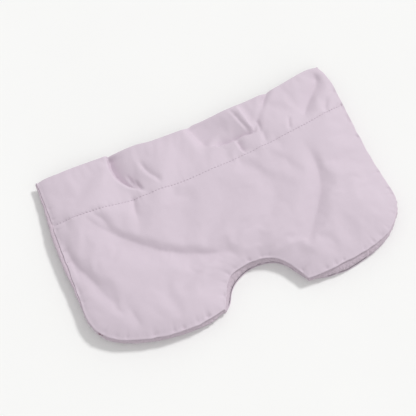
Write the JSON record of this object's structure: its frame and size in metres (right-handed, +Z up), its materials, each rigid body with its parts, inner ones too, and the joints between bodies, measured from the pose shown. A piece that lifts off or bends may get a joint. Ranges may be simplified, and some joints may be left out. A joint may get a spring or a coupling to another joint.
{
  "type": "eye pillow",
  "caption": "Contoured eye pillow with a nose notch: a soft cloth case, open along a wide hem, around a seed-filled insert that slides out for washing or warming.",
  "frame": {"origin": "centre of the underside, on the surface the pillow lies on", "axes": "+X along the mouth, +Y out of the mouth and away from the nose notch, +Z up through the cloth"},
  "size_m": [0.242, 0.152, 0.0152],
  "materials": {
    "microfibre": "smooth brushed microfibre, soft low sheen",
    "case_thread": "polyester sewing thread, slightly glossy",
    "label_satin": "blank woven satin",
    "calico": "plain unbleached cotton weave, matt",
    "calico_thread": "cotton thread, matt",
    "seeds": "whole flax seeds, smooth and slightly shiny"
  },
  "bodies": {
    "case": {"case_front_panel": "microfibre", "case_back_panel": "microfibre", "side_band": "microfibre", "upper_seam_overlock": "case_thread", "lower_seam_overlock": "case_thread", "hem_stitching_front": "case_thread", "hem_stitching_back": "case_thread", "hem_stitching_sides": "case_thread", "care_label": "label_satin"},
    "insert": {"insert_front_panel": "calico", "insert_back_panel": "calico", "insert_seam": "calico", "insert_closing_stitches": "calico_thread", "seed_fill": "seeds"}
  },
  "joints": [
    {"name": "insert_slide", "type": "slide", "parent": "case", "child": "insert", "axis": [0, 1, 0], "range_m": [0, 0.155]}
  ]
}
